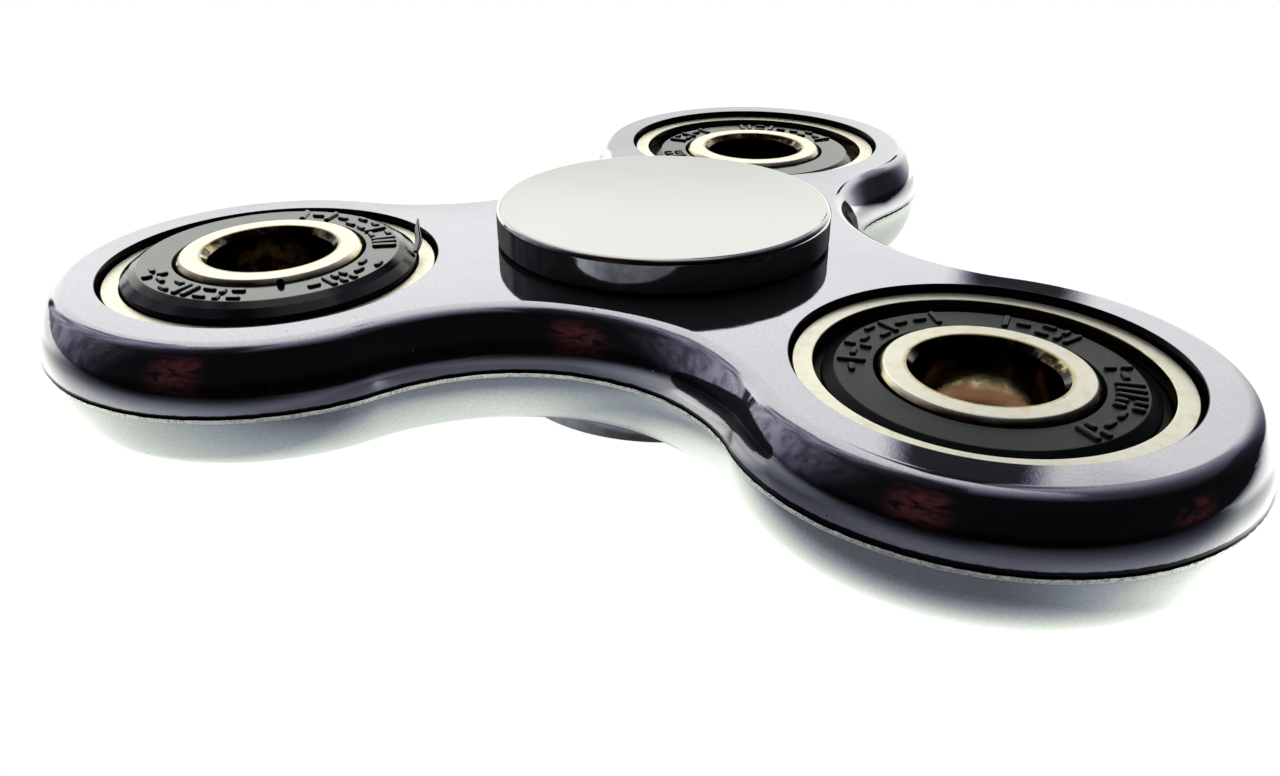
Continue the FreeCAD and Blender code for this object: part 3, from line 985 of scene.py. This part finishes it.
def studio_floor():
    """Plain white table, brightest behind the spinner and close round its edge."""
    half = 0.16
    mesh = bpy.data.meshes.new("floor")
    mesh.from_pydata([(-half, -half, 0), (half, -half, 0), (half, half, 0), (-half, half, 0)], [],
                     [(0, 1, 2, 3)])
    floor = link(mesh, "floor")
    s = Surface("white_table", 0.0)
    x, y = [s.maths("DIVIDE", metres, MM) for metres in s.parts(s.place)[:2]]
    light = table_light(s, x, y)
    near, closest = 0.0, 100.0
    for name in BEARINGS:
        out, ahead = from_edge(s, name)
        closest = s.maths("MINIMUM", closest, out)
        if name == "centre":
            beyond_hub = s.ramp(out, -3, -0.5)
            light = s.blend(beyond_hub, s.ramp(x, -7, 2, 0.45, 0.06), light)
            glow = s.curve(out, [(-3, 0.0), (-1, 0.8), (0, 0.65), (2, 0.42), (5, 0.32),
                                 (10, 0.26), (14, 0.0)])
        else:
            light = s.times(light, s.ramp(out, -5, -1, 0.1, 1))
            glow = s.times(lobe_glow(s, name, out, ahead), beyond_hub)
        near = s.maths("MAXIMUM", near, glow)
    light = s.maths("MAXIMUM", light, near)
    # Behind the spinner its own shade takes over close to the edge.
    shade = s.blend(s.ramp(y, 2, 14), 1.0, s.ramp(closest, 3, 22, 0.48, 1.0))
    light = s.times(light, shade)
    tint = s.mix(s.ramp(light, 0.25, 0.9), (0.94, 1.0, 1.12, 1), (1.0, 1.04, 0.93, 1))
    # Second reflections are dull, and the camera itself sees a plain white table.
    path = s.add("ShaderNodeLightPath").outputs
    light = s.times(light, s.ramp(path["Glossy Depth"], 1.0, 2.0, 1.0, 0.12))
    shown = s.mix(path["Is Camera Ray"], s.scaled(tint, light), (1, 1, 1, 1))
    glow = s.add("ShaderNodeEmission", Color=shown, Strength=1.0)
    s.feed(s.tree.nodes["Material Output"].inputs[0], glow.outputs[0])
    mesh.materials.append(s.material)


def studio_camera():
    """Camera low over the right lobe, looking down across the spinner."""
    data = bpy.data.cameras.new("camera")
    data.lens = 31.03
    data.sensor_width = 36.0
    data.clip_start = 0.002
    camera = bpy.data.objects.new("camera", data)
    bpy.context.scene.collection.objects.link(camera)
    camera.location = Vector((22.890, -71.213, 37.280)) * MM
    looking = Vector((-0.2896, 0.8373, -0.4638))
    camera.rotation_mode = "QUATERNION"
    camera.rotation_quaternion = looking.to_track_quat("-Z", "Y")
    bpy.context.scene.camera = camera
    bpy.context.scene.view_settings.view_transform = "Standard"


# ==== the pieces ====

def finish_piece(piece, material, body, slot, *nodes):
    """Gives a piece its material and body, and hides the CAD nodes that it stands for; slot is not
    used.
    """
    piece.data.materials.append(material)
    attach(piece, body)
    if nodes:
        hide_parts(*nodes)


def left_seal_scraps(place, face_z, rubber):
    """A curl of torn rubber at the left seal's rim, and a nub at its lip."""
    burr = [(0.47, 9.5, -0.5), (0.58, 9.75, -0.15), (0.72, 9.9, 0.25), (0.84, 10.3, 0.6)]
    burr = [(place.x + r * math.cos(angle), place.y + r * math.sin(angle), face_z + up)
            for angle, r, up in burr]
    nub_angle = -0.855
    nub_radius = 6.25
    nub = [(place.x + nub_radius * math.cos(nub_angle), place.y + nub_radius * math.sin(nub_angle),
            face_z + up) for up in (-0.15, 0.1, 0.3, 0.42)]
    finish_piece(sliver("left_seal_burr", burr, (0.12, 0.16, 0.12, 0.03), 1.6), rubber,
                 "left_inner", "seal_rubber")
    finish_piece(sliver("left_seal_nub", nub, (0.26, 0.25, 0.2, 0.06), 1.0), rubber,
                 "left_inner", "seal_rubber")


def bearing(name, marks_start, marks_seed, steel, rubber):
    """One bearing's rings and seals; the left one's inner ring and upper seal stand proud."""
    place = places[name]
    centre = (place.x, place.y, bearing_top_z)
    raised = name == "left"
    lifted = (place.x, place.y, bearing_top_z + (raised_lift if raised else 0))
    core = "finger_hub" if name == "centre" else name + "_inner"
    seal_body = core if raised else "spinner"
    clear_lip = INNER_LAND_RADIUS + LIP_CLEARANCE
    upper_lip = INNER_LAND_RADIUS if raised else clear_lip
    lower_lip = INNER_GROOVE_FLOOR + LIP_CLEARANCE if raised else clear_lip
    finish_piece(outer_ring(name + "_race_outer", centre), steel, "spinner", "ring_steel",
                 name + "_outer_ring")
    finish_piece(inner_ring(name + "_race_inner", lifted, raised), steel, core, "ring_steel",
                 name + "_inner_ring")
    finish_piece(seal(name + "_rubber_upper", lifted, upper_lip, 1, raised), rubber, seal_body,
                 "seal_rubber", name + "_upper_seal")
    finish_piece(seal(name + "_rubber_lower", centre, lower_lip, -1), rubber, "spinner",
                 "seal_rubber", name + "_lower_seal")
    finish_piece(seal_marks(name + "_seal_marks", lifted, marks_start, marks_seed), rubber,
                 seal_body, "seal_rubber")
    if raised:
        left_seal_scraps(place, lifted[2] - SEAL_FACE_DEPTH, rubber)


def main():
    plated, chrome, steel = plated_metal(), cap_chrome(), ring_steel()
    matt, worn = seal_rubber("seal_rubber", 0.30, 1.36), seal_rubber("seal_rubber_worn", 0.05, 2.6)
    finish_piece(spinner_body(), plated, "spinner", "plated_body", "spinner_body")
    finish_piece(finger_cap("upper_finger_cap", 1), chrome, "finger_hub", "cap_chrome", "upper_cap")
    finish_piece(finger_cap("lower_finger_cap", -1), chrome, "finger_hub", "cap_chrome", "lower_cap")

    # The pieces inside the bearings keep their CAD meshes.
    hidden = {"balls": ball_steel(), "cage": cage_nylon(), "upper_seal_insert": insert_steel()}
    hidden["lower_seal_insert"] = hidden["upper_seal_insert"]
    marks_start = {"centre": 0, "right": 160, "back": 250, "left": 70}
    for number, name in enumerate(sorted(places)):
        bearing(name, marks_start[name], number, steel, matt if name == "right" else worn)
        for kind, material in hidden.items():
            slots = frame["nodes"][name + "_" + kind].data.materials
            slots.clear()
            slots.append(material)

    studio_world()
    studio_floor()
    studio_camera()


main()
